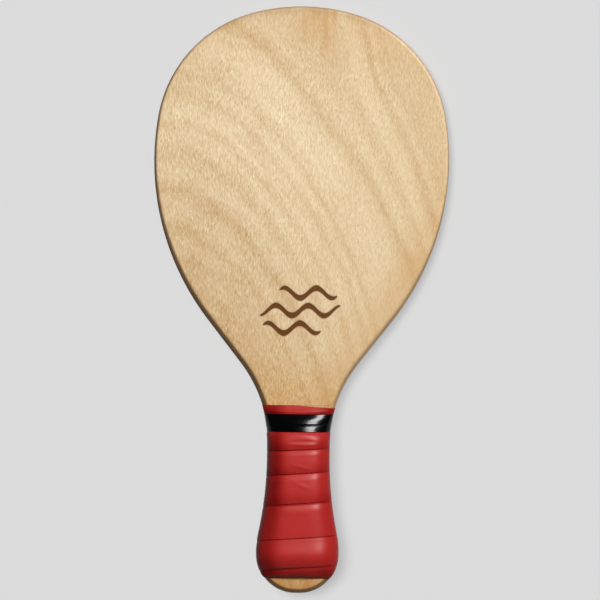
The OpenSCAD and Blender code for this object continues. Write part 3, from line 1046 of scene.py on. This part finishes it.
# Stage, in metres.
# Where the back of the handle and of the tip touch the floor: y and z
HANDLE_REST, TIP_REST = (-0.165, -0.0159), (0.1975, -0.005)
# How far the floor lies under those two places, and how far it reaches each way
FLOOR_GAP, FLOOR_REACH = 0.00005, 6.0
# How much of the floor's look is its own even glow, which keeps its shadow faint
FLOOR_GLOW = 0.67
# Strength of the world's light, and how much stronger its backdrop looks
DIM, BACKDROP = 0.05, 0.66
# Area lights on the paddle: size, watts and place
KEY = (1.6, 270, (2.05, 2.35, 3.9))
FILL = (2.0, 8, (0.1, 1.0, 2.6))
# The sun over the floor alone: strength, spread in degrees and place
WASH = (3.08, 26, (-0.27, 0.19, 1.0))
CAMERA_AWAY, SENSOR_MM = 2.6, 36


class PADDLE_OT_stage(bpy.types.Operator):
    """Set up the pale floor, the soft lights and the camera straight above."""
    bl_idname = "paddle.stage"
    bl_label = "Stage"

    def execute(self, context):
        self.floor(context)
        self.world(context)
        self.lights(context)
        self.camera(context)
        context.scene.view_settings.view_transform = "Standard"
        return {"FINISHED"}

    def direct(self, w):
        """1 for rays from the camera, and for those that metal and glass send on."""
        camera, glossy, through = (
            w.node("ShaderNodeLightPath", out=name)
            for name in ("Is Camera Ray", "Is Glossy Ray", "Is Transmission Ray"))
        return camera.at_least(glossy).at_least(through)

    def floor(self, context):
        """A floor that the back of the handle and of the tip both touch."""
        finish = Finish("pale_floor")
        w = finish.wire
        speck = w.noise(finish.place, 0.02, 2.0)
        base = w.blend(speck * 0.04, context.scene.paddle_colours.floor, (0.5, 0.5, 0.52))
        matt = w.node("ShaderNodeBsdfDiffuse", None, {"Color": base})
        glow = w.node("ShaderNodeEmission", None, {"Color": base, "Strength": 1.0})
        seen = w.node("ShaderNodeMixShader", None, {0: FLOOR_GLOW, 1: matt, 2: glow})
        # Little of its light bounces back up on the paddle
        bounced = w.node("ShaderNodeBsdfDiffuse", None, {"Color": (0.16, 0.16, 0.165)})
        shader = w.node("ShaderNodeMixShader", None,
                        {0: self.direct(w), 1: bounced, 2: seen})
        w.node("ShaderNodeOutputMaterial", None, {"Surface": shader})
        (low_y, low_z), (high_y, high_z) = HANDLE_REST, TIP_REST
        rise = (high_z - low_z) / (high_y - low_y)
        mesh = bpy.data.meshes.new("floor")
        mesh.from_pydata([(x * FLOOR_REACH, y * FLOOR_REACH,
                           low_z + rise * (y * FLOOR_REACH - low_y) - FLOOR_GAP)
                          for x, y in ((-1, -1), (1, -1), (1, 1), (-1, 1))],
                         [], [(0, 1, 2, 3)])
        floor = bpy.data.objects.new("floor", mesh)
        floor.data.materials.append(finish.material)
        context.scene.collection.objects.link(floor)
        floor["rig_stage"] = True

    def world(self, context):
        """Dim all round, with a pale backdrop above the floor's far edge."""
        world = bpy.data.worlds.new("studio")
        world.use_nodes = True
        world.node_tree.nodes.clear()
        w = Wire(world.node_tree)
        way = w.node("ShaderNodeTexCoord", out="Generated")
        height = w.node("ShaderNodeSeparateXYZ", None, {0: way}, out=2)
        strength = DIM + self.direct(w) * (1 - height.step(0.10, 0.20)) * BACKDROP
        light = w.node("ShaderNodeBackground", None,
                       {"Color": (1, 1, 1), "Strength": strength})
        w.node("ShaderNodeOutputWorld", None, {"Surface": light})
        context.scene.world = world

    def lights(self, context):
        """Soft lights on the paddle, and one over the floor that gives its shadow."""
        things = [o for o in context.scene.objects if o.type == "MESH"]
        paddle = self.group("paddle_pieces", [o for o in things if not o.get("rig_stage")])
        floor = self.group("floor_pieces", [o for o in things if o.get("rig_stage")])
        for name, (size, watts, place) in (("key", KEY), ("fill", FILL)):
            light = bpy.data.lights.new(name, "AREA")
            light.shape, light.size, light.energy = "SQUARE", size, watts
            lamp = self.place(context, light, place, paddle)
            lamp.visible_glossy = name == "key"
        wash = bpy.data.lights.new("floor_wash", "SUN")
        wash.energy, wash.angle = WASH[0], math.radians(WASH[1])
        self.place(context, wash, WASH[2], floor)

    def group(self, name, things):
        made = bpy.data.collections.new(name)
        for thing in things:
            made.objects.link(thing)
        return made

    def place(self, context, light, place, lit):
        """Hangs a light there, facing the middle of the paddle, over the pieces it lights."""
        lamp = bpy.data.objects.new(light.name, light)
        lamp.location = place
        lamp.rotation_euler = Vector(place).to_track_quat("Z", "Y").to_euler()
        context.scene.collection.objects.link(lamp)
        lamp.light_linking.receiver_collection = lit
        return lamp

    def camera(self, context):
        """Straight above, turned so that the paddle leans as it does in the photograph."""
        sizes = context.scene.paddle_sizes
        per_px = sizes.overall / (BUTT_ROW_PX - TIP_ROW_PX)
        middle_px = PHOTO_SIDE_PX / 2
        axis_px = (AXIS_AT_TOP_PX + AXIS_AT_BOTTOM_PX) / 2
        lean = (AXIS_AT_TOP_PX - AXIS_AT_BOTTOM_PX) / PHOTO_SIDE_PX
        data = bpy.data.cameras.new("camera")
        data.sensor_width = SENSOR_MM
        data.lens = SENSOR_MM * CAMERA_AWAY / (per_px * PHOTO_SIDE_PX)
        data.clip_start, data.clip_end = 0.05, 50
        camera = bpy.data.objects.new("camera", data)
        camera.location = ((middle_px - axis_px) * per_px,
                           (BUTT_ROW_PX - middle_px) * per_px - sizes.overall / 2,
                           CAMERA_AWAY + sizes.thickness / 2)
        camera.rotation_euler = (0, 0, math.atan(lean))
        context.scene.collection.objects.link(camera)
        context.scene.camera = camera


class PADDLE_PT_build(bpy.types.Panel):
    """Buttons and sizes of the paddle."""
    bl_label = "Beach Paddle"
    bl_space_type = "VIEW_3D"
    bl_region_type = "UI"
    bl_category = "Paddle"

    def draw(self, context):
        for step in STEPS:
            self.layout.operator(step.bl_idname)
        for group in (context.scene.paddle_sizes, context.scene.grip_sizes,
                      context.scene.paddle_colours):
            column = self.layout.column()
            for name in group.__annotations__:
                column.prop(group, name)


GROUPS = {"paddle_sizes": PaddleSizes, "grip_sizes": GripSizes,
          "paddle_colours": PaddleColours}
STEPS = (PADDLE_OT_plies, PADDLE_OT_cheeks, PADDLE_OT_grip_wrap, PADDLE_OT_finishing_tape,
         PADDLE_OT_stage)
CLASSES = (*GROUPS.values(), *STEPS, PADDLE_PT_build)


def register():
    for cls in CLASSES:
        bpy.utils.register_class(cls)
    for name, group in GROUPS.items():
        setattr(bpy.types.Scene, name, bpy.props.PointerProperty(type=group))


def unregister():
    for name in GROUPS:
        delattr(bpy.types.Scene, name)
    for cls in reversed(CLASSES):
        bpy.utils.unregister_class(cls)


def main():
    register()
    bpy.ops.paddle.plies()
    bpy.ops.paddle.cheeks()
    bpy.ops.paddle.grip_wrap()
    bpy.ops.paddle.finishing_tape()
    bpy.ops.paddle.stage()


if __name__ == "__main__":
    main()
